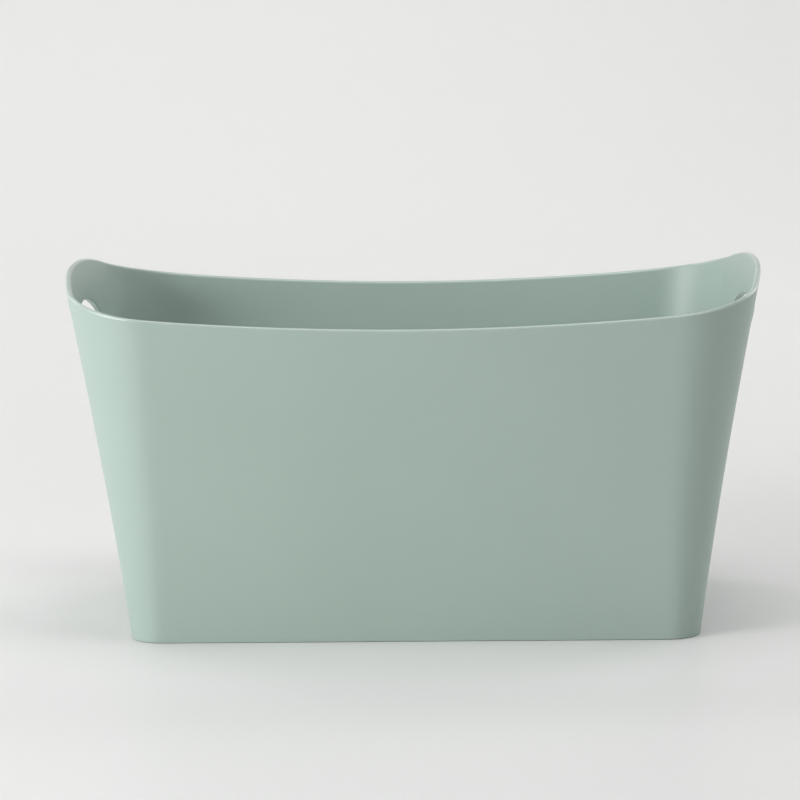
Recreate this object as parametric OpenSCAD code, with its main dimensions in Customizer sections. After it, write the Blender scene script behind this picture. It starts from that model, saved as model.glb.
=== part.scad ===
// Storage basket with raised ears and oval hand holes.
// One moulded tub that stands on four small anti-slip feet.
// X runs along the long sides, Y from the front to the back, Z up.
// The origin is on the floor, under the middle of the tub.

/* [Plan] */
// Height above the floor at which the upper plan sizes hold
gauge_height = 180; // [160:1:200]
// Length over the end walls at the gauge height
upper_length = 389.7; // [360:0.1:440]
// Depth over the long walls at the gauge height
upper_depth = 249; // [230:0.1:290]
// Length over the end walls at the foot
lower_length = 328.1; // [290:0.1:350]
// Depth over the long walls at the foot
lower_depth = 189.2; // [175:0.1:225]
// Corner radius at the gauge height
upper_corner_radius = 38.8; // [25:0.1:45]
// Corner radius at the foot
lower_corner_radius = 18.1; // [12:0.1:24]

/* [Wall curves] */
// How far the end walls draw in at their corners at the gauge height
upper_end_bow = 11.1; // [0:0.1:18]
// How far the end walls draw in at their corners at the foot
lower_end_bow = 4; // [0:0.1:7]
// How far the long walls draw in at their corners at the gauge height
upper_side_bow = 2.1; // [0:0.1:6]
// How far the end walls hang inside a straight line halfway up
end_sag = 1; // [0:0.1:2]

/* [Rim] */
// Height of the rim at the middle of a long side
side_height = 180.5; // [172:0.1:190]
// Climb of the saddle from the middle of a side towards the ends
saddle_rise = 10.1; // [5:0.1:14]
// Height of an ear's arc at the middle of an end
arc_height = 205.1; // [199:0.1:213]
// Fall of an ear's arc by the middle of a side
arc_fall = 169; // [140:1:200]
// Shape of an ear's arc: 2 is a parabola, more is flatter at the top
arc_power = 2.4; // [2:0.1:2.8]
// How softly the saddle and an ear's arc run into each other
shoulder_blend = 4.1; // [1:0.1:6]
// Thickness of the full-round rim
rim_thickness = 3.2; // [2.8:0.1:4]

/* [Walls and base] */
// Thickness of the walls at the floor, from where they thicken evenly up to the rim
wall = 2.2; // [1.8:0.1:2.6]
// Thickness of the base
base_thickness = 2.4; // [1.8:0.1:3.5]
// Clear height under the base, inside the foot ring
base_recess = 2.4; // [1.5:0.1:4]
// Width of the foot ring where it meets the base
foot_ring_width = 2.6; // [2.2:0.1:4]
// Draft of the foot ring's inner face
foot_ring_draft = 0.3; // [0.1:0.1:0.6]
// Radius of the outer bottom edge
bottom_edge_radius = 0.4; // [0.4:0.1:1.6]
// Radius between the inner wall and the floor of the tub
inner_corner_radius = 6; // [3:0.5:7]

/* [Hand holes] */
// Length of a hand hole
hole_length = 108; // [90:1:114]
// Height of a hand hole
hole_height = 37; // [30:0.5:40]
// Height of a hand hole's middle above the floor
hole_mid_height = 165.8; // [158:0.1:168]
// Shape of a hand hole: 2 is an ellipse, more is boxier
hole_power = 2; // [2:0.1:3]
// Width of the thickened collar round a hand hole
collar_width = 5; // [4:0.5:6]
// How far the collar stands out of the outer face over the hole
collar_out = 1.1; // [0.4:0.1:1.4]
// How far the inner face turns outwards over the hole
collar_turn = 0.2; // [0:0.1:0.6]
// Radius of the collar's two edges at the hole
collar_edge_radius = 0.7; // [0.5:0.1:1.1]

/* [Feet] */
// Diameter of a foot
foot_diameter = 14; // [10:0.5:18]
// How far the feet hold the foot ring off the floor
foot_stand = 0.2; // [0.2:0.1:1]
// Distance of a foot's middle from the side walls and end walls at the foot
foot_inset = 27; // [22:1:40]
// Width of the bevel round a foot's bottom edge
foot_bevel = 0.6; // [0.3:0.1:1]
// Thickness of the ring that locates a foot
socket_wall = 1.4; // [1:0.1:2]
// Gap between a foot and the ring that locates it
socket_clearance = 0.1; // [0.05:0.01:0.3]
// How far the locating ring ends above the foot ring's bottom
socket_lift = 0.8; // [0.5:0.1:1.4]

/* [Hidden] */
shell_colour = [0.60, 0.68, 0.64];
foot_colour = [0.36, 0.39, 0.38];
// Steps of the surface: along half a long wall, round a corner, along half an end wall
side_steps = 8;
corner_steps = 9;
end_steps = 9;
// Columns of half a hand hole's patch, out of end_steps, and rows of that patch
patch_columns = 7;
patch_rows = 6;
// Plain wall kept between a collar and the edge of its patch, beside, below and above it
patch_side_margin = 8;
patch_low_margin = 8;
patch_high_margin = 3.5;
lower_rows = 3;
bead_steps = 6;
fillet_steps = 3;
lip_steps = 2;
// Middle ring of the patch round a hand hole
patch_middle_share = 0.5;
// How much of its height a collar keeps at its shoulder, and how far along its width that lies
collar_shoulder_share = 0.7;
collar_slope_share = 0.5;
// Where a collar starts and where it is full, as shares of the hole's half height over its middle
collar_start_share = 0.2;
collar_full_share = 0.8;
quarter = side_steps + corner_steps + end_steps;
columns = 4 * quarter;
foot_radius = foot_diameter / 2;
foot_height = foot_stand + base_recess;
floor_height = foot_height + base_thickness;
foot_x = lower_length / 2 - foot_inset;
foot_y = lower_depth / 2 - foot_inset;
rim_radius = rim_thickness / 2;
patch_half = hole_length / 2 + collar_width + patch_side_margin;
patch_low = hole_mid_height - hole_height / 2 - collar_width - patch_low_margin;
patch_high = hole_mid_height + hole_height / 2 + collar_width + patch_high_margin;

// Value a share t of the way from a to b
function mix(a, b, t) = a + (b - a) * t;
// Smooth step from 0 to 1 between the shares a and b
function ramp(t, a, b) = t <= a ? 0 : t >= b ? 1 : (1 - cos(180 * (t - a) / (b - a))) / 2;
// The greater of a and b, with a soft change from one to the other
function soft_max(a, b, blend) = (a + b) / 2 + norm([(a - b) / 2, blend]);
// Power that keeps the sign
function spow(v, p) = sign(v) * pow(abs(v), p);

// Half length, half depth and corner radius of the outer face at a height
function rise(z) = z / gauge_height;
function half_length(z) =
    mix(lower_length, upper_length, rise(z)) / 2 - 4 * end_sag * rise(z) * (1 - rise(z));
function half_depth(z) = mix(lower_depth, upper_depth, rise(z)) / 2;
function corner_radius(z) = mix(lower_corner_radius, upper_corner_radius, rise(z));

// The plan is a rounded rectangle whose walls draw in a little at their corners
function bowed(p, a, b, z) = [
    p.x - mix(lower_end_bow, upper_end_bow, rise(z)) * pow(p.y / b, 2) * p.x / a,
    p.y - upper_side_bow * rise(z) * pow(p.x / a, 2) * p.y / b
];

// Point of the wall in one quarter: column c, height z, set in from the outer face
function quarter_plan(c, a, b, r) =
    c <= side_steps ? [(a - r) * c / side_steps, b] :
    c < side_steps + corner_steps ?
        let (g = 90 * (c - side_steps) / corner_steps) [a - r + r * sin(g), b - r + r * cos(g)] :
    quarter - c > patch_columns ?
        [a, mix(patch_half, b - r, (quarter - c - patch_columns) / (end_steps - patch_columns))] :
    [a, patch_half * (quarter - c) / patch_columns];
function quarter_point(c, z, inset) =
    let (a = half_length(z) - inset, b = half_depth(z) - inset, r = corner_radius(z) - inset)
    bowed(quarter_plan(c, a, b, r), a, b, z);

// Column i of the whole loop: 0 is the front middle and the loop runs over the right end
function folded(i) = let (k = floor(i / quarter), c = i % quarter) k % 2 == 0 ? c : quarter - c;
function side_x(i) = i <= 2 * quarter ? 1 : -1;
function side_y(i) = i > quarter && i < 3 * quarter ? 1 : -1;
function wall_point(i, z, inset) =
    let (p = quarter_point(folded(i), z, inset)) [side_x(i) * p.x, side_y(i) * p.y, z];

// Height of the rim over a column, from how far round the quarter it lies
shoulder_height = side_height + saddle_rise;
shoulder_radius = corner_radius(shoulder_height);
side_run = half_length(shoulder_height) - shoulder_radius;
corner_run = PI * shoulder_radius / 2;
end_run = half_depth(shoulder_height) - shoulder_radius;
function run_share(c) =
    let (p = quarter_plan(c, side_run + shoulder_radius, end_run + shoulder_radius, shoulder_radius))
    (c <= side_steps ? p.x :
        c < side_steps + corner_steps ? side_run + corner_run * (c - side_steps) / corner_steps :
        side_run + corner_run + end_run - p.y) / (side_run + corner_run + end_run);
function rim_at(s) = soft_max(
    side_height + saddle_rise * pow(sin(90 * s), 2),
    arc_height - arc_fall * pow(1 - s, arc_power), shoulder_blend);
rim_heights = [for (i = [0:columns - 1]) rim_at(run_share(folded(i)))];
ear_height = rim_at(1);

// Rows of a wall, as heights at the middle of an end, from the foot to the rim
function wall_rows(low, high) = [
    for (k = [0:lower_rows - 1]) mix(low, patch_low, k / lower_rows),
    for (k = [0:patch_rows]) mix(patch_low, patch_high, k / patch_rows),
    high
];
outer_rows = wall_rows(foot_stand + bottom_edge_radius, ear_height - rim_radius);
inner_rows = wall_rows(floor_height + inner_corner_radius, ear_height - rim_radius);
// Over the rest of the loop the rows keep their share of the way up to the rim
function row_height(i, z, low, high) =
    mix(low, high + rim_heights[i] - ear_height, (z - low) / (high - low));

// Thickness of the wall at the height of a row
function wall_at(z) = let (low = inner_rows[0], high = inner_rows[len(inner_rows) - 1])
    mix(wall, rim_thickness, (z - low) / (high - low));

function outer_loop(z) = [for (i = [0:columns - 1])
    wall_point(i, row_height(i, z, outer_rows[0], outer_rows[len(outer_rows) - 1]), 0)];
function inner_loop(z) = [for (i = [0:columns - 1])
    wall_point(i, row_height(i, z, inner_rows[0], inner_rows[len(inner_rows) - 1]), wall_at(z))];
function level_loop(z, inset) = [for (i = [0:columns - 1]) wall_point(i, z, inset)];
function rim_loop(drop, inset) = [for (i = [0:columns - 1]) wall_point(i, rim_heights[i] - drop, inset)];

// All loops in order: foot ring, outer wall, rim, inner wall and inner corner
foot_loops = [
    level_loop(foot_height, foot_ring_width),
    level_loop(foot_stand, foot_ring_width - foot_ring_draft),
    for (k = [0:fillet_steps - 1]) let (g = 90 * k / fillet_steps) level_loop(
        foot_stand + bottom_edge_radius * (1 - cos(g)), bottom_edge_radius * (1 - sin(g)))
];
outer_loops = [for (z = outer_rows) outer_loop(z)];
bead_loops = [for (k = [1:bead_steps]) let (g = 180 * k / bead_steps)
    rim_loop(rim_radius * (1 - sin(g)), rim_radius * (1 - cos(g)))];
inner_loops = [for (k = [len(inner_rows) - 2:-1:0]) inner_loop(inner_rows[k])];
corner_loops = [for (k = [1:fillet_steps]) let (g = 90 * k / fillet_steps) level_loop(
    floor_height + inner_corner_radius * (1 - sin(g)), wall + inner_corner_radius * (1 - cos(g)))];
loops = concat(foot_loops, outer_loops, bead_loops, inner_loops, corner_loops);
first_outer = len(foot_loops);
first_inner = first_outer + len(outer_loops) + len(bead_loops);
patch_outer_row = first_outer + lower_rows;
patch_inner_row = first_inner + len(inner_loops) - 1 - lower_rows;

// Patch round a hand hole: its edge follows the loops, its rings close in on the hole
patch_count = 4 * patch_columns + 2 * patch_rows;
function patch_edge(j) =
    j < 2 * patch_columns ? [j, 0] :
    j < 2 * patch_columns + patch_rows ? [2 * patch_columns, j - 2 * patch_columns] :
    j < 4 * patch_columns + patch_rows ? [4 * patch_columns + patch_rows - j, patch_rows] :
    [0, patch_count - j];
function patch_index(j, end, row, step) = let (e = patch_edge(j % patch_count))
    (row + step * e.y) * columns + quarter - patch_columns + e.x + end * 2 * quarter;
// Each ring is [offset from the hole's outline, share of the way to the patch's edge,
// outer face 0 or inner face 1, share of the collar's height, depth into the wall]
collar_rings = [
    [collar_width, patch_middle_share, 0, 0, 0],
    [collar_width, 0, 0, 0, 0],
    [collar_width * collar_slope_share, 0, 0, collar_shoulder_share, 0],
    for (k = [0:lip_steps]) let (g = 90 * k / lip_steps)
        [collar_edge_radius * (1 - sin(g)), 0, 0, 1, collar_edge_radius * (1 - cos(g))],
    for (k = [lip_steps:-1:0]) let (g = 90 * k / lip_steps)
        [collar_edge_radius * (1 - sin(g)), 0, 1, 1, collar_edge_radius * (1 - cos(g))],
    [collar_width * collar_slope_share, 0, 1, collar_shoulder_share, 0],
    [collar_width, 0, 1, 0, 0],
    [collar_width, patch_middle_share, 1, 0, 0]
];
edge_points = [for (j = [0:patch_count - 1]) let (e = patch_edge(j)) [
    patch_half * (e.x - patch_columns) / patch_columns,
    row_height(quarter - patch_columns + e.x, mix(patch_low, patch_high, e.y / patch_rows),
        outer_rows[0], outer_rows[len(outer_rows) - 1])
]];
function edge_angle(p) = atan2(2 * (p.y - hole_mid_height) / (patch_high - patch_low), p.x / patch_half);
function oval(g, offset) = [
    (hole_length / 2 + offset) * spow(cos(g), 2 / hole_power),
    hole_mid_height + (hole_height / 2 + offset) * spow(sin(g), 2 / hole_power)
];
function end_point(p, inset) =
    let (a = half_length(p.y) - inset, b = half_depth(p.y) - inset, q = bowed([a, p.x], a, b, p.y))
    [q.x, q.y, p.y];
function patch_rings(end) = [for (ring = collar_rings, j = [0:patch_count - 1])
    let (
        g = edge_angle(edge_points[j]),
        p = mix(oval(g, ring.x), edge_points[j], ring.y),
        raised = ring[3] * ramp(sin(g), collar_start_share, collar_full_share),
        q = end_point(p, mix(ring[4] - collar_out * raised,
            wall_at(p.y) - collar_turn * raised - ring[4], ring.z))
    )
    end == 0 ? q : [-q.x, -q.y, q.z]];

// Faces
function in_patch(i, row) =
    let (c = (i - quarter + patch_columns + columns) % (2 * quarter))
    c < 2 * patch_columns && (
        (row >= patch_outer_row && row < patch_outer_row + patch_rows) ||
        (row < patch_inner_row && row >= patch_inner_row - patch_rows));
function two_triangles(a, b, c, d) = [[a, b, c], [a, c, d]];
loop_faces = [
    for (row = [0:len(loops) - 2], i = [0:columns - 1]) if (!in_patch(i, row))
        let (n = (i + 1) % columns)
        each two_triangles(
            row * columns + i, (row + 1) * columns + i,
            (row + 1) * columns + n, row * columns + n)
];
loop_total = len(loops) * columns;
ring_total = len(collar_rings) * patch_count;
function ring_index(k, j, end) =
    k < 0 ? patch_index(j, end, patch_outer_row, 1) :
    k >= len(collar_rings) ? patch_index(j, end, patch_inner_row, -1) :
    loop_total + end * ring_total + k * patch_count + j % patch_count;
patch_faces = [
    for (end = [0, 1], k = [-1:len(collar_rings) - 1], j = [0:patch_count - 1])
        each two_triangles(
            ring_index(k, j, end), ring_index(k + 1, j, end),
            ring_index(k + 1, j + 1, end), ring_index(k, j + 1, end))
];
under_middle = loop_total + 2 * ring_total;
floor_middle = under_middle + 1;
cap_faces = [
    for (i = [0:columns - 1]) [under_middle, i, (i + 1) % columns],
    for (i = [0:columns - 1])
        [floor_middle, (len(loops) - 1) * columns + (i + 1) % columns, (len(loops) - 1) * columns + i]
];

module tub() {
    polyhedron(
        points = concat(
            [for (l = loops) each l], patch_rings(0), patch_rings(1),
            [[0, 0, foot_height], [0, 0, floor_height]]),
        faces = concat(loop_faces, patch_faces, cap_faces));
}

// Ring under the base that locates a foot
module foot_socket(x, y) {
    translate([x, y, foot_stand + socket_lift])
    difference() {
        cylinder(h = base_recess - socket_lift + base_thickness / 2,
            r = foot_radius + socket_clearance + socket_wall, $fn = 72);
        translate([0, 0, -base_recess])
        cylinder(h = 2 * base_recess - socket_lift, r = foot_radius + socket_clearance, $fn = 72);
    }
}

module basket_shell() {
    color(shell_colour) {
        tub();
        for (x = [-foot_x, foot_x], y = [-foot_y, foot_y]) foot_socket(x, y);
    }
}

// Anti-slip foot: a pad with a bevelled bottom edge that fills its socket up to the base
module foot(x, y) {
    color(foot_colour)
    translate([x, y, 0])
    rotate_extrude($fn = 72)
    polygon([
        [0, 0], [foot_radius - foot_bevel, 0], [foot_radius, foot_bevel],
        [foot_radius, foot_height], [0, foot_height]
    ]);
}
module foot_front_left() { foot(-foot_x, -foot_y); }
module foot_front_right() { foot(foot_x, -foot_y); }
module foot_back_left() { foot(-foot_x, foot_y); }
module foot_back_right() { foot(foot_x, foot_y); }

basket_shell();
foot_front_left();
foot_front_right();
foot_back_left();
foot_back_right();
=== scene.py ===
# %% [markdown]
# # A moulded storage basket
# The real object is one thin shell of sage-green polypropylene: a flaring tub with a rim that
# dips along the sides and rises into an ear at each end, with an oval hand hole under each ear. It
# stands on four small anti-slip feet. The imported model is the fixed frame: every piece below is
# made in that frame, in metres, so nothing has to be fitted afterwards.

# %% Load the frame
import math

import bmesh
import bpy
from mathutils import Matrix, Vector


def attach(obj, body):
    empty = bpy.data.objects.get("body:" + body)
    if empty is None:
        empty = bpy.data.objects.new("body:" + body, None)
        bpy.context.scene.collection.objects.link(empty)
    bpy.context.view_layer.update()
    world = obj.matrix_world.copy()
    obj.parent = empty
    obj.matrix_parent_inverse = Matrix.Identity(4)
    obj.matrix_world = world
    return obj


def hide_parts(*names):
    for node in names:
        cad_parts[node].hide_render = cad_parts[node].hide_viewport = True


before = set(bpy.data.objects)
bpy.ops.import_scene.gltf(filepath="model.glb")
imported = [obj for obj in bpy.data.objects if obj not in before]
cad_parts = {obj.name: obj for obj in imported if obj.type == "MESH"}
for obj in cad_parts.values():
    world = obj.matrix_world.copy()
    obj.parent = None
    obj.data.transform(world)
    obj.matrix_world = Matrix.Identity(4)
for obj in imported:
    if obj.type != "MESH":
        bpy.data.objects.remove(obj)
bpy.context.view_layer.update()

scene = bpy.context.scene
print("nodes:", sorted(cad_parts))

# %% [markdown]
# ## The walls as formulas
# A mould maker draws such a tub as a few curves: a plan that is a rounded rectangle, a draft that
# makes it grow with height, and a rim line. Drawing it by hand in Edit Mode would give lumpy walls,
# and lumps show at once on a smooth satin plastic. So the walls are computed: every point of the
# cage comes from the same few formulas, and a Subdivision Surface smooths what lies between.
# All sizes in these cells are millimetres, because that is how a mould is drawn.

# %% Sizes of the tub
MM = 0.001
GAUGE_HEIGHT = 180.0                       # height at which the upper sizes hold
LENGTH = (328.1, 389.7)                    # over the end walls, at the foot and at the gauge
DEPTH = (189.2, 249.0)                     # over the long walls
CORNER_RADIUS = (18.1, 38.8)
END_BOW = (4.0, 11.1)                      # how far the end walls draw in at their corners
SIDE_BOW = (0.0, 2.1)                      # the same on the long walls
END_SAG = 1.0                              # how far an end wall lies inside its straight draft
WALL, RIM_RADIUS = 2.2, 1.6                # the wall thickens evenly from the floor up to the rim
SIDE_HEIGHT, SADDLE_RISE = 180.5, 10.1     # the rim's saddle along a side
ARC_HEIGHT, ARC_FALL, ARC_POWER = 205.1, 169.0, 2.4   # an ear's arc, which falls on both sides
SHOULDER_BLEND = 4.1                       # how softly saddle and arc run into each other
STAND, UNDERSIDE, FLOOR = 0.2, 2.6, 5.0    # heights of the foot ring, the base and the tub's floor
RING_WIDTH, RING_DRAFT = 2.6, 0.3          # the foot ring, which narrows downwards by its draft
BOTTOM_RADIUS, INNER_RADIUS = 0.4, 6.0     # of the outer bottom edge, and from wall to floor inside


def mix(a, b, t):
    return a + (b - a) * t


def smooth(t):
    return (1 - math.cos(math.pi * min(max(t, 0.0), 1.0))) / 2


def rim_line(share):
    """Height of the rim: share 0 is a side's middle and share 1 an end's middle."""
    saddle = SIDE_HEIGHT + SADDLE_RISE * math.sin(math.pi / 2 * share) ** 2
    arc = ARC_HEIGHT - ARC_FALL * (1 - share) ** ARC_POWER
    return (saddle + arc) / 2 + math.hypot((saddle - arc) / 2, SHOULDER_BLEND)


def half_length(z):
    t = z / GAUGE_HEIGHT
    return mix(*LENGTH, t) / 2 - 4 * END_SAG * t * (1 - t)


def half_depth(z):
    return mix(*DEPTH, z / GAUGE_HEIGHT) / 2


def bowed(x, y, a, b, z):
    """Draws the walls of a plan of half length a and half depth b in at their corners."""
    t = z / GAUGE_HEIGHT
    return (x - mix(*END_BOW, t) * (y / b) ** 2 * x / a,
            y - mix(*SIDE_BOW, t) * (x / a) ** 2 * y / b)


print("plan at the gauge:", 2 * half_length(GAUGE_HEIGHT), "x", 2 * half_depth(GAUGE_HEIGHT), "mm")

# %% [markdown]
# ## Columns round the tub
# The cage is a grid: loops that run round the tub, and columns that run up it. The columns are
# closer together where the wall turns, and those near the middle of an end keep to a strip of fixed
# width, because the hand hole will be let into that strip. One quarter is worked out and mirrored,
# so all four corners match exactly, as they do in a mould.

# %% Columns of one quarter, mirrored round
SIDE, CORNER, END = 24, 14, 26             # columns along half a side, a corner and half an end
PATCH, PATCH_ROWS = 20, 14                 # the hand hole's strip: columns of half of it, and rows
OUTER_LOWER, INNER_LOWER, UPPER = 16, 14, 4    # wall rows under the strip and over it
QUARTER = SIDE + CORNER + END
COLUMNS = 4 * QUARTER
HOLE_HALF, HOLE_RISE = 54.0, 18.5          # half the length and half the height of the hand hole
HOLE_MID, HOLE_POWER = 165.8, 2.0          # its middle height and the power of its oval
COLLAR_WIDTH, COLLAR_SLOPE = 5.0, 3.8      # the collar round it, and how much of it slopes
COLLAR_OUT, COLLAR_TURN = 1.1, 0.2         # how far it stands out on the outer and inner face
COLLAR_EDGE = 0.7                          # radius of the edges of the hole
COLLAR_START, COLLAR_FULL = 0.2, 0.8       # shares of the hole's half height over its middle
STRIP_MARGIN, STRIP_MARGIN_TOP = 8.0, 3.5  # from the collar to the edge of the strip
PATCH_HALF = HOLE_HALF + COLLAR_WIDTH + STRIP_MARGIN
PATCH_LOW = HOLE_MID - HOLE_RISE - COLLAR_WIDTH - STRIP_MARGIN
PATCH_HIGH = HOLE_MID + HOLE_RISE + COLLAR_WIDTH + STRIP_MARGIN_TOP


def quarter_plan(column, a, b, r):
    """Point of a rounded rectangle: column 0 is a side's middle and the last is an end's middle."""
    if column <= SIDE:
        return (a - r) * column / SIDE, b
    if column < SIDE + CORNER:
        angle = math.pi / 2 * (column - SIDE) / CORNER
        return a - r + r * math.sin(angle), b - r + r * math.cos(angle)
    left = QUARTER - column
    if left > PATCH:
        return a, mix(PATCH_HALF, b - r, (left - PATCH) / (END - PATCH))
    return a, PATCH_HALF * left / PATCH


def wall_point(column, z, inset):
    """Point of the wall, set in from its outer face. Column 0 is the front middle."""
    turn, step = divmod(column % COLUMNS, QUARTER)
    folded = step if turn % 2 == 0 else QUARTER - step
    a, b = half_length(z) - inset, half_depth(z) - inset
    r = mix(*CORNER_RADIUS, z / GAUGE_HEIGHT) - inset
    x, y = bowed(*quarter_plan(folded, a, b, r), a, b, z)
    return Vector((x if turn in (0, 1) else -x, -y if turn in (0, 3) else y, z))


def rim_height(column):
    """Height of the rim over a column, from how far round the quarter the column lies."""
    step = column % (2 * QUARTER)
    folded = step if step <= QUARTER else 2 * QUARTER - step
    z = SIDE_HEIGHT + SADDLE_RISE
    r = mix(*CORNER_RADIUS, z / GAUGE_HEIGHT)
    side, corner, end = half_length(z) - r, math.pi * r / 2, half_depth(z) - r
    x, y = quarter_plan(folded, side + r, end + r, r)
    if folded <= SIDE:
        run = x
    elif folded < SIDE + CORNER:
        run = side + corner * (folded - SIDE) / CORNER
    else:
        run = side + corner + end - y
    return rim_line(run / (side + corner + end))


RIM = [rim_height(c) for c in range(COLUMNS)]
EAR = max(RIM)
print(COLUMNS, "columns; rim from", round(min(RIM), 1), "to", round(EAR, 1), "mm")

# %% [markdown]
# ## Loops up the wall, over the rim and down again
# One profile is followed all the way round: down the inside of the foot ring, round the sharp
# bottom edge, up the outer wall, over the full-round rim, and down the inner wall to the floor.
# Where a tight radius meets a broad wall there is a close extra loop, a support loop, which keeps
# the subdivided wall flat right up to the radius and so keeps its highlight thin and crisp.

# %% Build the list of loops
CROWD_EVEN, CROWD_LOWER, CROWD_UPPER = 0.04, 1.7, 1.5   # how the rows crowd at the edge and the rim
EDGE_SHARES = (0.0, 0.08, 0.29, 0.62)      # loops round the bottom edge, as shares of its height
INNER_STEPS, BEAD_STEPS = 6, 10            # loops of the inner radius and of the bead of the rim
UNWORN = 2                                 # last loops of the bead, down inside, which nothing rubs


def wall_rows(low, high, lower):
    """Heights at the middle of an end: close at the bottom, even over the hand hole, up to high."""
    rows = [mix(low, PATCH_LOW, mix((k / lower) ** CROWD_LOWER, k / lower, CROWD_EVEN))
            for k in range(lower)]
    rows += [mix(PATCH_LOW, PATCH_HIGH, k / PATCH_ROWS) for k in range(PATCH_ROWS + 1)]
    rows += [mix(PATCH_HIGH, high, 1 - (1 - k / UPPER) ** CROWD_UPPER) for k in range(1, UPPER + 1)]
    return rows


def row_loop(z, low, high, inset):
    """A wall row: elsewhere on the tub it keeps its share of the way up to the rim."""
    return [wall_point(c, mix(low, high + RIM[c] - EAR, (z - low) / (high - low)), inset)
            for c in range(COLUMNS)]


def level_loop(z, inset):
    return [wall_point(c, z, inset) for c in range(COLUMNS)]


def rim_loop(drop, inset):
    return [wall_point(c, RIM[c] - drop, inset) for c in range(COLUMNS)]


def arc(count, first=0):
    """Pairs (1 - sin, 1 - cos) along a quarter circle."""
    return [(1 - math.sin(math.pi / 2 * k / count), 1 - math.cos(math.pi / 2 * k / count))
            for k in range(first, count + 1)]


OUTER_ROWS = wall_rows(STAND + BOTTOM_RADIUS, EAR - RIM_RADIUS, OUTER_LOWER)
INNER_ROWS = wall_rows(FLOOR + INNER_RADIUS, EAR - RIM_RADIUS, INNER_LOWER)


def wall_at(z):
    """Thickness of the wall at a height over the middle of an end."""
    return mix(WALL, 2 * RIM_RADIUS, (z - INNER_ROWS[0]) / (INNER_ROWS[-1] - INNER_ROWS[0]))


RING_LOW = RING_WIDTH - RING_DRAFT
RING_PROFILE = (                           # (height, inset), from the underside down the ring
    (UNDERSIDE, RING_WIDTH + 2.4), (UNDERSIDE, RING_WIDTH + 0.9), (UNDERSIDE, RING_WIDTH + 0.5),
    (UNDERSIDE - 0.15, RING_WIDTH + 0.15), (UNDERSIDE - 0.5, RING_WIDTH - 0.05),
    (STAND + 0.6, RING_LOW), (STAND + 0.25, RING_LOW - 0.05), (STAND + 0.05, RING_LOW - 0.25),
    (STAND, RING_LOW - 0.6))
FLOOR_SUPPORTS = (1.2, 5.0)                # support loops on the floor, from where it gets flat

loops = [level_loop(z, inset) for z, inset in RING_PROFILE]
loops += [level_loop(STAND + BOTTOM_RADIUS * up, BOTTOM_RADIUS * (1 - math.sqrt(1 - (1 - up) ** 2)))
          for up in EDGE_SHARES]
FIRST_OUTER = len(loops)
loops += [row_loop(z, OUTER_ROWS[0], OUTER_ROWS[-1], 0) for z in OUTER_ROWS]
FIRST_BEAD = len(loops)
for k in range(1, BEAD_STEPS + 1):
    turn = math.pi * k / BEAD_STEPS
    loops.append(rim_loop(RIM_RADIUS * (1 - math.sin(turn)), RIM_RADIUS * (1 - math.cos(turn))))
AFTER_BEAD = len(loops)
loops += [row_loop(z, INNER_ROWS[0], INNER_ROWS[-1], wall_at(z)) for z in reversed(INNER_ROWS[:-1])]
LAST_INNER = len(loops) - 1
loops += [level_loop(FLOOR + INNER_RADIUS * up, WALL + INNER_RADIUS * out)
          for up, out in arc(INNER_STEPS, first=1)]
loops += [level_loop(FLOOR, WALL + INNER_RADIUS + step) for step in FLOOR_SUPPORTS]
print(len(loops), "loops")

# %% [markdown]
# ## The hand hole's strip
# A hole cut with a Boolean would leave a hard, faceted edge. On the real tub the upper half of the
# hole has a slightly thickened collar that rolls softly through the wall, so fingers don't meet a
# sharp edge. Here the strip's faces are left out of the grid, and rings of faces are laid from its
# straight edge to the oval, over the collar, through the wall and out again to the inner grid. The
# faces all stay four-sided and flow round the hole, which keeps a subdivided surface smooth.

# %% Rings from the strip's edge to the hole
PATCH_COUNT = 4 * PATCH + 2 * PATCH_ROWS   # points round the edge of the strip
SLOPE_STEPS, LIP_STEPS = 4, 5              # rings of the collar's slope and of its rounded edge
BLEND_SHARES = (0.82, 0.6, 0.38, 0.18, 0.06)   # rings between the strip's edge and the collar


def patch_edge(j):
    """Column and row, counted in the strip, of the j-th point of its edge."""
    j %= PATCH_COUNT
    if j < 2 * PATCH:
        return j, 0
    if j < 2 * PATCH + PATCH_ROWS:
        return 2 * PATCH, j - 2 * PATCH
    if j < 4 * PATCH + PATCH_ROWS:
        return 4 * PATCH + PATCH_ROWS - j, PATCH_ROWS
    return 0, PATCH_COUNT - j


def oval(angle, offset):
    def power(v):
        return math.copysign(abs(v) ** (2 / HOLE_POWER), v)
    return Vector(((HOLE_HALF + offset) * power(math.cos(angle)),
                   HOLE_MID + (HOLE_RISE + offset) * power(math.sin(angle))))


def end_point(y, z, inset):
    """Point of the right end wall over a place in its elevation."""
    a, b = half_length(z) - inset, half_depth(z) - inset
    x, y = bowed(a, y, a, b, z)
    return Vector((x, y, z))


EDGE_ANGLES = []
for j in range(PATCH_COUNT):
    column, row = patch_edge(j)
    across, up = (column - PATCH) / PATCH, 2 * row / PATCH_ROWS - 1
    EDGE_ANGLES.append(math.atan2(up, across))

# Each ring is (offset from the hole's outline, outer face 0 or inner face 1, share of the collar's
# height, depth into the wall). Those of the inner face mirror those of the outer one.
slope = [(COLLAR_WIDTH - COLLAR_SLOPE * k / SLOPE_STEPS, 0, smooth(k / SLOPE_STEPS), 0.0)
         for k in range(SLOPE_STEPS + 1)]
lip = [(COLLAR_EDGE * away, 0, 1.0, COLLAR_EDGE * deep) for away, deep in arc(LIP_STEPS)]
RINGS = [*slope, *lip]
RINGS += [(away, 1, share, deep) for away, _, share, deep in reversed(RINGS)]


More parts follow.
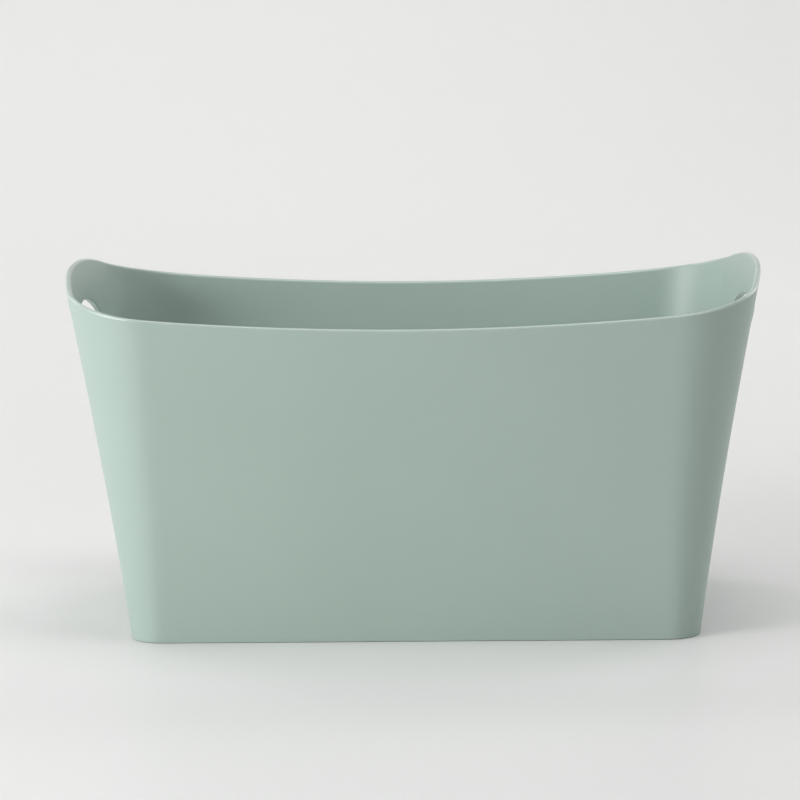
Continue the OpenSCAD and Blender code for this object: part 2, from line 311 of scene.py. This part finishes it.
def ring_point(angle, offset, face, share, depth):
    flat = oval(angle, offset)
    raised = share * smooth((math.sin(angle) - COLLAR_START) / (COLLAR_FULL - COLLAR_START))
    if face:
        return end_point(flat.x, flat.y, wall_at(flat.y) - COLLAR_TURN * raised - depth)
    return end_point(flat.x, flat.y, depth - COLLAR_OUT * raised)


print(len(RINGS), "collar rings of", PATCH_COUNT, "points at each end")

# %% Lay the faces of the shell
HANDLED = "handled"                        # 1 on edges that hands and shelves rub, 0 on open wall
POLISHED = "polished"                      # 1 on the bead of the rim, which has a smoother finish


def make_shell():
    mesh = bmesh.new()
    handled = mesh.verts.layers.float.new(HANDLED)
    polished = mesh.verts.layers.float.new(POLISHED)
    grid = [[mesh.verts.new(p) for p in loop] for loop in loops]
    patch_rows = {"outer": FIRST_OUTER + OUTER_LOWER,
                  "inner": LAST_INNER - INNER_LOWER - PATCH_ROWS}
    for row in range(len(loops) - 1):
        for c in range(COLUMNS):
            in_strip = (c - QUARTER + PATCH) % (2 * QUARTER) < 2 * PATCH
            if in_strip and any(r <= row < r + PATCH_ROWS for r in patch_rows.values()):
                continue
            n = (c + 1) % COLUMNS
            mesh.faces.new((grid[row][c], grid[row][n], grid[row + 1][n], grid[row + 1][c]))
    for end in (0, 1):
        turn = -1 if end else 1

        def edge(side, j):
            column, row = patch_edge(j)
            c = (QUARTER - PATCH + column + end * 2 * QUARTER) % COLUMNS
            if side == "outer":
                return grid[patch_rows["outer"] + row][c]
            return grid[patch_rows["inner"] + PATCH_ROWS - row][c]

        def blend_ring(side, share, face):
            ring = []
            for j in range(PATCH_COUNT):
                at = edge(side, j).co
                flat = Vector((at.y * turn, at.z))
                flat = mix(oval(EDGE_ANGLES[j], COLLAR_WIDTH), flat, share)
                ring.append(end_point(flat.x, flat.y, face * wall_at(flat.y)))
            return ring

        rings = [blend_ring("outer", s, 0) for s in BLEND_SHARES]
        rings += [[ring_point(angle, *ring) for angle in EDGE_ANGLES] for ring in RINGS]
        rings += [blend_ring("inner", s, 1) for s in reversed(BLEND_SHARES)]
        made = [[edge("outer", j) for j in range(PATCH_COUNT)]]
        for ring in rings:
            made.append([mesh.verts.new((p.x * turn, p.y * turn, p.z)) for p in ring])
        made.append([edge("inner", j) for j in range(PATCH_COUNT)])
        for k in range(len(made) - 1):
            for j in range(PATCH_COUNT):
                n = (j + 1) % PATCH_COUNT
                mesh.faces.new((made[k][j], made[k][n], made[k + 1][n], made[k + 1][j]))
        first = 1 + len(BLEND_SHARES) + SLOPE_STEPS
        for ring in made[first:-first]:
            for v in ring:
                v[handled] = 1.0
    bottom_edge = range(FIRST_OUTER - len(EDGE_SHARES), FIRST_OUTER)
    for row in (*bottom_edge, *range(FIRST_BEAD, AFTER_BEAD - UNWORN)):
        for v in grid[row]:
            v[handled] = 1.0
            v[polished] = float(row >= FIRST_BEAD)
    return mesh, grid


shell_mesh, shell_grid = make_shell()
print(len(shell_mesh.verts), "points,", len(shell_mesh.faces), "faces before the base is closed")

# %% [markdown]
# ## The base
# Under the base stand four locating rings for the feet and, in the middle, the small round mark
# where the plastic was injected. They grow out of the flat underside, so the flat face is filled
# with triangles round circles left for them, and each circle is then carried down as a turned
# profile. A flat face can be triangulated freely, because the triangles can't spoil its shape.

# %% Close the floor and the underside
FOOT_RADIUS, FOOT_INSET = 7.0, 27.0        # a foot, and how far it sits in from both walls
FOOT_X, FOOT_Y = LENGTH[0] / 2 - FOOT_INSET, DEPTH[0] / 2 - FOOT_INSET
SOCKET_GAP, SOCKET_WALL = 0.1, 1.4         # a locating ring's clearance and thickness
SOCKET_LIFT = 0.8                          # how far the ring stays above the foot ring's bottom
SOCKET_IN = FOOT_RADIUS + SOCKET_GAP
SOCKET_OUT = SOCKET_IN + SOCKET_WALL
SOCKET_LOW = STAND + SOCKET_LIFT
TURN_STEPS = 40                            # points round a turned profile
SOCKET_PROFILE = [                         # (radius, height), from the underside round the lip
    (SOCKET_OUT + 1.2, UNDERSIDE), (SOCKET_OUT + 0.35, UNDERSIDE),
    (SOCKET_OUT + 0.1, UNDERSIDE - 0.1), (SOCKET_OUT, UNDERSIDE - 0.35),
    (SOCKET_OUT, SOCKET_LOW + 0.35), (SOCKET_OUT - 0.1, SOCKET_LOW + 0.1),
    (SOCKET_OUT - 0.35, SOCKET_LOW), (SOCKET_IN + 0.35, SOCKET_LOW),
    (SOCKET_IN + 0.1, SOCKET_LOW + 0.1), (SOCKET_IN, SOCKET_LOW + 0.35),
    (SOCKET_IN, UNDERSIDE - 0.15), (SOCKET_IN, UNDERSIDE), (SOCKET_IN - 0.3, UNDERSIDE)]
GATE_PROFILE = [                           # a shallow dish with the trimmed stub in it
    (9.0, UNDERSIDE), (6.6, UNDERSIDE), (6.0, UNDERSIDE + 0.12), (5.2, UNDERSIDE + 0.45),
    (4.4, UNDERSIDE + 0.55), (1.9, UNDERSIDE + 0.55), (1.6, UNDERSIDE + 0.5),
    (1.45, UNDERSIDE + 0.1), (1.2, UNDERSIDE - 0.05), (0.6, UNDERSIDE - 0.1)]


def turned_rings(mesh, profile, steps, x=0.0, y=0.0):
    """Rings of points round an upright axis, one for each (radius, height), with faces between."""
    angles = [math.tau * k / steps for k in range(steps)]
    rings = [[mesh.verts.new((x + radius * math.cos(angle), y + radius * math.sin(angle), z))
              for angle in angles] for radius, z in profile]
    for first, second in zip(rings, rings[1:]):
        for k in range(steps):
            n = (k + 1) % steps
            mesh.faces.new((first[k], second[k], second[n], first[n]))
    return rings


def turned(mesh, x, y, profile):
    """A turned profile that looks down, closed with a flat cap. Gives its outer ring."""
    rings = turned_rings(mesh, profile, TURN_STEPS, x, y)
    mesh.faces.new(list(reversed(rings[-1])))
    return rings[0]


def ring_edges(mesh, ring):
    return [mesh.edges.get((a, b)) or mesh.edges.new((a, b))
            for a, b in zip(ring, ring[1:] + ring[:1])]


def close_base(mesh, grid):
    outline = ring_edges(mesh, grid[0])
    for x in (-FOOT_X, FOOT_X):
        for y in (-FOOT_Y, FOOT_Y):
            outline += ring_edges(mesh, turned(mesh, x, y, SOCKET_PROFILE))
    outline += ring_edges(mesh, turned(mesh, 0, 0, GATE_PROFILE))
    bmesh.ops.triangle_fill(mesh, edges=outline, use_beauty=True, normal=(0, 0, -1))
    outline = ring_edges(mesh, grid[-1])
    bmesh.ops.triangle_fill(mesh, edges=outline, use_beauty=True, normal=(0, 0, 1))
    bmesh.ops.recalc_face_normals(mesh, faces=mesh.faces[:])
    open_edges = [e for e in mesh.edges if len(e.link_faces) != 2]
    print("edges that don't have two faces:", len(open_edges))


close_base(shell_mesh, shell_grid)


def to_object(mesh, name):
    """A smooth-shaded object in the scene, from a mesh that is used up."""
    data = bpy.data.meshes.new(name)
    mesh.to_mesh(data)
    mesh.free()
    data.shade_smooth()
    made = bpy.data.objects.new(name, data)
    scene.collection.objects.link(made)
    return made


def to_piece(mesh, name, body="root"):
    """Turns millimetres into metres and makes a piece that rides on a body."""
    bmesh.ops.scale(mesh, vec=(MM,) * 3, verts=mesh.verts[:])
    piece = to_object(mesh, name)
    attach(piece, body)
    return piece


shell = to_piece(shell_mesh, "tub_shell")
rounding = shell.modifiers.new("rounding", "SUBSURF")
rounding.levels = rounding.render_levels = 1
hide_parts("basket_shell")
print("tub:", len(shell.data.polygons), "faces in the cage")

# %% [markdown]
# ## Shader groups
# An effect that several finishes share is built once as a node group with its own sockets, and
# placed in each material with that material's values. Each group here puts out only things that
# change over the surface: a mask, a tone or a height. The shaders themselves stay in the materials.

# %% Helpers that write node groups
def new_group(name, inputs, outputs):
    """A shader node group with float inputs (name, default) and named float outputs."""
    group = bpy.data.node_groups.new(name, "ShaderNodeTree")
    for label, value in inputs:
        socket = group.interface.new_socket(label, in_out="INPUT", socket_type="NodeSocketFloat")
        socket.default_value = value
    for label in outputs:
        group.interface.new_socket(label, in_out="OUTPUT", socket_type="NodeSocketFloat")
    return group, group.nodes.new("NodeGroupInput"), group.nodes.new("NodeGroupOutput")


def feed(tree, socket, value):
    """Sets a socket to a plain number, or links another socket to it."""
    if isinstance(value, (int, float)):
        socket.default_value = value
    else:
        tree.links.new(value, socket)


def math_node(tree, operation, a, b, clamp=False):
    node = tree.nodes.new("ShaderNodeMath")
    node.operation = operation
    node.use_clamp = clamp
    feed(tree, node.inputs[0], a)
    feed(tree, node.inputs[1], b)
    return node.outputs[0]


def noise_node(tree, vector, scale, detail=2.0, rough=0.5, distortion=0.0):
    node = tree.nodes.new("ShaderNodeTexNoise")
    for label, value in (("Vector", vector), ("Scale", scale), ("Detail", detail),
                         ("Roughness", rough), ("Distortion", distortion)):
        feed(tree, node.inputs[label], value)
    return node.outputs["Fac"]


def band(tree, value, low, high):
    """Maps low..high to 0..1 with soft ends."""
    node = tree.nodes.new("ShaderNodeMapRange")
    node.interpolation_type = "SMOOTHSTEP"
    for label, fed in (("Value", value), ("From Min", low), ("From Max", high)):
        feed(tree, node.inputs[label], fed)
    return node.outputs["Result"]


def noise_mask(tree, vector, scale, low, high, **look):
    """Mask of the places where a noise rises from low to high."""
    return band(tree, noise_node(tree, vector, scale, **look), low, high)


def object_place(tree, stretch=(1, 1, 1)):
    """Object coordinates in metres, stretched so that a pattern can run along one axis."""
    place = tree.nodes.new("ShaderNodeTexCoord")
    mapping = tree.nodes.new("ShaderNodeMapping")
    mapping.inputs["Scale"].default_value = stretch
    tree.links.new(place.outputs["Object"], mapping.inputs["Vector"])
    return mapping.outputs["Vector"]


print("group helpers ready")

# %% [markdown]
# ### Grain, tone, dust and wear
# Polypropylene copies the mould's spark-eroded skin: a grain of a few tenths of a millimetre, only
# microns deep. Over it lies a slow change of tone from uneven cooling, a little dust where a face
# looks up, a faint polish on the edges that hands and shelves rub, and fine scuffs. Noise by itself
# is everywhere, so the masks keep only the part of it that lies over a limit.

# %% Build the shared groups
GRAIN_SCALE, TONE_SCALE = 2600.0, 9.0      # every scale is, roughly, bumps of noise per metre
BROAD_SCALE, BROAD_SHARE = 0.21, 0.25      # the grain's coarser part, against its fine part
VEIL_SHARE, SPECK_SHARE = 0.7, 0.5         # what makes up the dust
STREAKS, FINE_STREAKS = (14, 14, 520), (30, 30, 1900)   # scales along X, Y and Z, for level lines


def grain_group():
    """Height of the mould's grain: fine bumps on coarser ones."""
    inputs = (("Scale", GRAIN_SCALE), ("Depth", 1.0))
    group, entry, exit_ = new_group("moulded grain", inputs, ("Height",))
    place = object_place(group)
    fine = noise_node(group, place, entry.outputs["Scale"], detail=3.0, rough=0.6)
    broad_scale = math_node(group, "MULTIPLY", entry.outputs["Scale"], BROAD_SCALE)
    broad = noise_node(group, place, broad_scale, detail=1.0)
    both = math_node(group, "ADD", math_node(group, "MULTIPLY", fine, 1 - BROAD_SHARE),
                     math_node(group, "MULTIPLY", broad, BROAD_SHARE))
    height = math_node(group, "MULTIPLY", both, entry.outputs["Depth"])
    group.links.new(height, exit_.inputs["Height"])
    return group


def tone_group():
    """A tone round 0.5 that wanders slowly, and the same noise as a height."""
    inputs = (("Scale", TONE_SCALE), ("Amount", 1.0))
    group, entry, exit_ = new_group("slow tone", inputs, ("Tone", "Height"))
    place = object_place(group)
    slow = noise_node(group, place, entry.outputs["Scale"], detail=2.0, rough=0.45)
    centred = math_node(group, "SUBTRACT", slow, 0.5)
    centred = math_node(group, "MULTIPLY", centred, entry.outputs["Amount"])
    group.links.new(math_node(group, "ADD", centred, 0.5), exit_.inputs["Tone"])
    group.links.new(slow, exit_.inputs["Height"])
    return group


def dust_group():
    """Mask of a patchy veil with specks in it, on faces that look up."""
    group, entry, exit_ = new_group("settled dust", (("Amount", 1.0),), ("Mask",))
    facing = group.nodes.new("ShaderNodeNewGeometry")
    split = group.nodes.new("ShaderNodeSeparateXYZ")
    group.links.new(facing.outputs["Normal"], split.inputs[0])
    up = band(group, split.outputs["Z"], low=0.55, high=0.98)
    place = object_place(group)
    veil = noise_mask(group, place, scale=60.0, low=0.38, high=0.72, detail=5.0, rough=0.7)
    specks = noise_mask(group, place, scale=1400.0, low=0.62, high=0.72)
    dust = math_node(group, "ADD", math_node(group, "MULTIPLY", veil, VEIL_SHARE),
                     math_node(group, "MULTIPLY", specks, SPECK_SHARE))
    dust = math_node(group, "MULTIPLY", dust, up)
    dust = math_node(group, "MULTIPLY", dust, entry.outputs["Amount"], clamp=True)
    group.links.new(dust, exit_.inputs["Mask"])
    return group


def wear_group():
    """Mask of the worn spots on edges."""
    group, entry, exit_ = new_group("handled edges", (("Edge", 0.0), ("Amount", 1.0)), ("Mask",))
    place = object_place(group)
    spots = noise_mask(group, place, scale=140.0, low=0.35, high=0.7, detail=4.0, rough=0.65)
    wear = math_node(group, "MULTIPLY", entry.outputs["Edge"], spots)
    wear = math_node(group, "MULTIPLY", wear, entry.outputs["Amount"], clamp=True)
    group.links.new(wear, exit_.inputs["Mask"])
    return group


def scuff_group():
    """Mask of hair-fine marks that run mostly level, as from sliding the tub along a shelf."""
    group, entry, exit_ = new_group("shelf scuffs", (("Amount", 1.0),), ("Mask",))
    streaks = noise_mask(group, object_place(group, STREAKS), scale=1.0, low=0.6, high=0.68,
                         detail=3.0, rough=0.55, distortion=0.3)
    fine = noise_mask(group, object_place(group, FINE_STREAKS), scale=1.0, low=0.45, high=0.6)
    where = noise_mask(group, object_place(group), scale=17.0, low=0.5, high=0.72)
    scuffs = math_node(group, "MULTIPLY", streaks, fine)
    scuffs = math_node(group, "MULTIPLY", scuffs, where)
    scuffs = math_node(group, "MULTIPLY", scuffs, entry.outputs["Amount"], clamp=True)
    group.links.new(scuffs, exit_.inputs["Mask"])
    return group


GROUPS = {"grain": grain_group(), "tone": tone_group(), "dust": dust_group(),
          "wear": wear_group(), "scuff": scuff_group()}
print("groups:", [g.name for g in GROUPS.values()])

# %% [markdown]
# ## The finishes
# The tub is through-coloured, so scratches and worn edges stay green and only get paler or shinier.
# That is why wear moves the colour a little way towards a paler green instead of baring another
# material. In the photograph a thin bright line runs along the rim, so its bead is taken to be
# smoother than the grained walls, and a coat layer on the bead stands for that. The feet are a
# dark, dull elastomer that picks up dust.

# %% Put the materials together
def place_group(tree, key, **values):
    node = tree.nodes.new("ShaderNodeGroup")
    node.node_tree = GROUPS[key]
    for label, value in values.items():
        feed(tree, node.inputs[label], value)
    return node


def blend_colour(tree, factor, first, second):
    """Mixes two colours, each a socket or a plain colour, by a mask."""
    node = tree.nodes.new("ShaderNodeMix")
    node.data_type = "RGBA"
    tree.links.new(factor, node.inputs["Factor"])
    for label, colour in (("A", first), ("B", second)):
        socket = next(s for s in node.inputs if s.name == label and s.type == "RGBA")
        if isinstance(colour, tuple):
            socket.default_value = (*colour, 1.0)
        else:
            tree.links.new(colour, socket)
    return next(s for s in node.outputs if s.type == "RGBA")


def shade(colour, factor):
    return tuple(channel * factor for channel in colour)


def new_material(name):
    material = bpy.data.materials.new(name)
    material.use_nodes = True
    tree = material.node_tree
    return material, tree, tree.nodes["Principled BSDF"]


def bump(tree, height, distance, strength, before=None):
    node = tree.nodes.new("ShaderNodeBump")
    node.inputs["Distance"].default_value = distance
    node.inputs["Strength"].default_value = strength
    tree.links.new(height, node.inputs["Height"])
    if before is not None:
        tree.links.new(before, node.inputs["Normal"])
    return node.outputs["Normal"]


SAGE = (0.375, 0.472, 0.425)
SAGE_SPREAD = 0.025                        # how far the slow tone takes the colour either way
PALE_SAGE = (0.49, 0.585, 0.54)            # where it is worn or scuffed
WEAR_PALE, SCUFF_PALE = 0.4, 0.5           # how far each goes towards that
DUST = (0.55, 0.55, 0.53)
SATIN, DULL = 0.39, 0.68                   # roughness of the plastic and of the feet
TONE_ROUGH, WEAR_GLOSS, DUST_ROUGH = 0.05, 0.25, 0.8   # what changes the plastic's roughness
PLASTIC_IOR, RUBBER_IOR = 1.49, 1.52
RIM_ROUGHNESS, RIM_IOR = 0.36, 1.85        # of the coat layer on the bead
WAVE_SCALE, WAVE_HEIGHT = 14.0, 0.0006     # slow unevenness of the walls; heights in metres
GRAIN_HEIGHT = 0.00002
SOOT, ASH = (0.075, 0.09, 0.083), (0.12, 0.14, 0.13)   # the two tones of the feet
RUBBER_TONE_SCALE, RUBBER_TONE_ROUGH = 90.0, 0.2
RUBBER_GRAIN_SCALE, RUBBER_GRAIN_HEIGHT = 1500.0, 0.00006


def sage_plastic():
    material, tree, shader = new_material("sage polypropylene")
    edge, rim = (tree.nodes.new("ShaderNodeAttribute") for _ in range(2))
    edge.attribute_name, rim.attribute_name = HANDLED, POLISHED
    tone = place_group(tree, "tone", Scale=TONE_SCALE, Amount=1.6).outputs["Tone"]
    wear = place_group(tree, "wear", Edge=edge.outputs["Fac"], Amount=0.35).outputs["Mask"]
    scuff = place_group(tree, "scuff", Amount=0.25).outputs["Mask"]
    dust = place_group(tree, "dust", Amount=0.10).outputs["Mask"]
    colour = blend_colour(tree, tone, shade(SAGE, 1 - SAGE_SPREAD), shade(SAGE, 1 + SAGE_SPREAD))
    paler = math_node(tree, "MULTIPLY", wear, WEAR_PALE)
    colour = blend_colour(tree, paler, colour, PALE_SAGE)
    paler = math_node(tree, "MULTIPLY", scuff, SCUFF_PALE)
    colour = blend_colour(tree, paler, colour, PALE_SAGE)
    colour = blend_colour(tree, dust, colour, DUST)
    tree.links.new(colour, shader.inputs["Base Color"])
    rough = math_node(tree, "ADD", SATIN, math_node(tree, "MULTIPLY", tone, TONE_ROUGH))
    rough = math_node(tree, "SUBTRACT", rough, math_node(tree, "MULTIPLY", wear, WEAR_GLOSS))
    duller = math_node(tree, "MULTIPLY", dust, DUST_ROUGH)
    rough = math_node(tree, "ADD", rough, duller, clamp=True)
    tree.links.new(rough, shader.inputs["Roughness"])
    shader.inputs["IOR"].default_value = PLASTIC_IOR
    tree.links.new(rim.outputs["Fac"], shader.inputs["Coat Weight"])
    shader.inputs["Coat Roughness"].default_value = RIM_ROUGHNESS
    shader.inputs["Coat IOR"].default_value = RIM_IOR
    waves = place_group(tree, "tone", Scale=WAVE_SCALE, Amount=1.0).outputs["Height"]
    grain = place_group(tree, "grain", Scale=GRAIN_SCALE, Depth=1.0).outputs["Height"]
    normal = bump(tree, waves, WAVE_HEIGHT, 0.35)
    normal = bump(tree, grain, GRAIN_HEIGHT, 0.8, before=normal)
    tree.links.new(normal, shader.inputs["Normal"])
    return material


def foot_rubber():
    material, tree, shader = new_material("foot elastomer")
    tone = place_group(tree, "tone", Scale=RUBBER_TONE_SCALE, Amount=1.5).outputs["Tone"]
    dust = place_group(tree, "dust", Amount=0.3).outputs["Mask"]
    colour = blend_colour(tree, tone, SOOT, ASH)
    colour = blend_colour(tree, dust, colour, DUST)
    tree.links.new(colour, shader.inputs["Base Color"])
    rough = math_node(tree, "ADD", DULL, math_node(tree, "MULTIPLY", tone, RUBBER_TONE_ROUGH))
    tree.links.new(rough, shader.inputs["Roughness"])
    shader.inputs["IOR"].default_value = RUBBER_IOR
    grain = place_group(tree, "grain", Scale=RUBBER_GRAIN_SCALE, Depth=1.0).outputs["Height"]
    tree.links.new(bump(tree, grain, RUBBER_GRAIN_HEIGHT, 0.9), shader.inputs["Normal"])
    return material


def give_material(piece, material):
    piece.data.materials.clear()
    piece.data.materials.append(material)


PLASTIC, RUBBER = sage_plastic(), foot_rubber()
give_material(shell, PLASTIC)
for name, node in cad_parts.items():
    give_material(node, PLASTIC if name == "basket_shell" else RUBBER)
print("materials:", [m.name for m in bpy.data.materials])

# %% [markdown]
# ## The studio
# The basket stands on a pale sheet that runs up into the backdrop without a corner, so no horizon
# shows. It is built as a wide turned bowl: the same pale wall is behind the basket from any side.

# %% Floor and backdrop in one sheet
BOWL_STEPS, COVE_STEPS = 96, 24            # columns round the bowl, and rings up its cove
FLAT_RADII = (0.6, 1.2, 1.9)               # rings of the flat floor, in metres
COVE_RADIUS, WALL_TOP = 3.0, 4.2           # of the curve up from the floor; height of the bowl
BOWL_RADIUS = FLAT_RADII[-1] + COVE_RADIUS
PAPER = (0.800, 0.797, 0.792), (0.806, 0.803, 0.798)   # its two tones, a hair apart
PAPER_TONE_SCALE, PAPER_ROUGHNESS, PAPER_SPECULAR = 1.6, 0.42, 0.3


def make_backdrop():
    profile = [(r, 0.0) for r in FLAT_RADII]
    for k in range(1, COVE_STEPS + 1):
        turn = math.pi / 2 * k / COVE_STEPS
        profile.append((FLAT_RADII[-1] + COVE_RADIUS * math.sin(turn),
                        COVE_RADIUS * (1 - math.cos(turn))))
    profile.append((BOWL_RADIUS, WALL_TOP))
    mesh = bmesh.new()
    rings = turned_rings(mesh, profile, BOWL_STEPS)
    mesh.faces.new(rings[0])
    bmesh.ops.recalc_face_normals(mesh, faces=mesh.faces[:])
    if mesh.faces[0].normal.z < 0:
        bmesh.ops.reverse_faces(mesh, faces=mesh.faces[:])
    sheet = to_object(mesh, "backdrop")
    return sheet


def backdrop_paper():
    """Pale paper with a faint sheen. From behind it lets the view through."""
    material, tree, shader = new_material("backdrop paper")
    tone = place_group(tree, "tone", Scale=PAPER_TONE_SCALE, Amount=1.0).outputs["Tone"]
    tree.links.new(blend_colour(tree, tone, *PAPER), shader.inputs["Base Color"])
    shader.inputs["Roughness"].default_value = PAPER_ROUGHNESS
    shader.inputs["Specular IOR Level"].default_value = PAPER_SPECULAR
    behind = tree.nodes.new("ShaderNodeNewGeometry")
    clear = tree.nodes.new("ShaderNodeBsdfTransparent")
    choose = tree.nodes.new("ShaderNodeMixShader")
    tree.links.new(behind.outputs["Backfacing"], choose.inputs[0])
    tree.links.new(shader.outputs[0], choose.inputs[1])
    tree.links.new(clear.outputs[0], choose.inputs[2])
    tree.links.new(choose.outputs[0], tree.nodes["Material Output"].inputs["Surface"])
    return material


backdrop = make_backdrop()
give_material(backdrop, backdrop_paper())
print("backdrop radius:", BOWL_RADIUS, "m")

# %% [markdown]
# ## Camera
# The photograph was taken with a long lens, from two metres away and 20 cm above the rim. The
# camera's place was found by fitting the basket's edges, so it is written as that fit gave it: the
# basket stands turned by a hair, and the camera is panned, tilted and rolled by small angles.

# %% Place the camera
BASKET_TURN = -0.01751                     # how the basket is turned; angles are in radians
CAMERA_DISTANCE, CAMERA_HEIGHT = 2.0216, 0.4134
PAN, TILT, ROLL = -0.00443, 0.14214, -0.01217
FOCAL_PIXELS, FRAME_PIXELS = 3490.6, 800.0     # focal length and width of the picture
SENSOR = 36.0                              # its width in millimetres
CLIP_NEAR, CLIP_FAR = 0.05, 60


def make_camera():
    level_right = Vector((math.cos(PAN), -math.sin(PAN), 0))
    forward = Vector((math.sin(PAN), math.cos(PAN), 0)) * math.cos(TILT)
    forward.z = -math.sin(TILT)
    level_up = level_right.cross(forward)
    right = math.cos(ROLL) * level_right + math.sin(ROLL) * level_up
    up = math.cos(ROLL) * level_up - math.sin(ROLL) * level_right
    axes = Matrix((right, up, -forward)).transposed().to_4x4()
    place = Matrix.Translation((0, -CAMERA_DISTANCE, CAMERA_HEIGHT))
    lens = bpy.data.cameras.new("camera")
    lens.sensor_width = SENSOR
    lens.lens = FOCAL_PIXELS * SENSOR / FRAME_PIXELS
    lens.clip_start, lens.clip_end = CLIP_NEAR, CLIP_FAR
    camera = bpy.data.objects.new("camera", lens)
    scene.collection.objects.link(camera)
    camera.matrix_world = Matrix.Rotation(-BASKET_TURN, 4, "Z") @ place @ axes
    scene.camera = camera
    return camera


camera = make_camera()
print("camera at", [round(v, 3) for v in camera.matrix_world.translation])
print("lens", round(camera.data.lens, 1), "mm")

# %% [markdown]
# ## Light
# The photograph has broad light from the left, which makes the left front corner bright and shades
# the right one. Narrower lights overhead draw the bright line along the rim, and soft light all
# round keeps the shadows pale. Light simply adds up, so the powers were worked out together from
# renders with one light on at a time.

# %% Area lights and the sky
LIGHTS = (  # name, place, target, width, height, watts
    ("left key", (-1.5, -1.1, 0.6), (0, 0, 0.1), 0.9, 0.8, 19.1),
    ("left front", (-1.3, -1.6, 0.9), (0, 0, 0.1), 1.0, 1.0, 5.8),
    ("left low", (-1.6, -0.5, 0.45), (0, 0, 0.1), 1.0, 0.8, 3.7),
    ("left back", (-1.5, 0.9, 1.0), (0, 0, 0.1), 1.0, 1.0, 4.2),
    ("overhead", (0.0, -0.1, 2.35), (0, 0, 0), 0.9, 1.5, 10.9),
    ("overhead left", (-0.8, -0.7, 2.1), (0, 0, 0), 0.9, 1.2, 2.5),
    ("overhead right", (0.7, -0.6, 2.2), (0, 0, 0), 0.9, 1.2, 9.6),
    ("right fill", (2.0, -0.6, 1.0), (0, 0, 0.1), 1.4, 1.4, 4.0),
    ("right back", (1.6, 1.3, 1.2), (0, 0, 0.1), 1.4, 1.2, 12.0),
    ("ground left", (-1.6, 1.6, 2.2), (-1.3, 2.6, 0.0), 1.4, 1.0, 16.0),
    ("ground middle", (0.0, 2.0, 2.2), (0, 2.6, 0.0), 1.8, 1.0, 7.0),
    ("backdrop", (0.0, 2.2, 2.6), (0, 4.2, 1.0), 3.0, 1.0, 34.0),
)
SKY = 0.09


def area_light(name, place, target, width, height, watts):
    data = bpy.data.lights.new(name, "AREA")
    data.shape = "RECTANGLE"
    data.size, data.size_y = width, height
    data.energy = watts
    lamp = bpy.data.objects.new(name, data)
    scene.collection.objects.link(lamp)
    lamp.location = place
    lamp.rotation_euler = (Vector(target) - Vector(place)).to_track_quat("-Z", "Y").to_euler()
    lamp.visible_camera = False
    return lamp


def soft_sky(strength):
    world = bpy.data.worlds.new("studio")
    world.use_nodes = True
    sky = world.node_tree.nodes["Background"]
    sky.inputs["Color"].default_value = (1, 1, 1, 1)
    sky.inputs["Strength"].default_value = strength
    scene.world = world


for light in LIGHTS:
    area_light(*light)
soft_sky(SKY)
scene.view_settings.view_transform = "Standard"
print("lights:", [light[0] for light in LIGHTS])
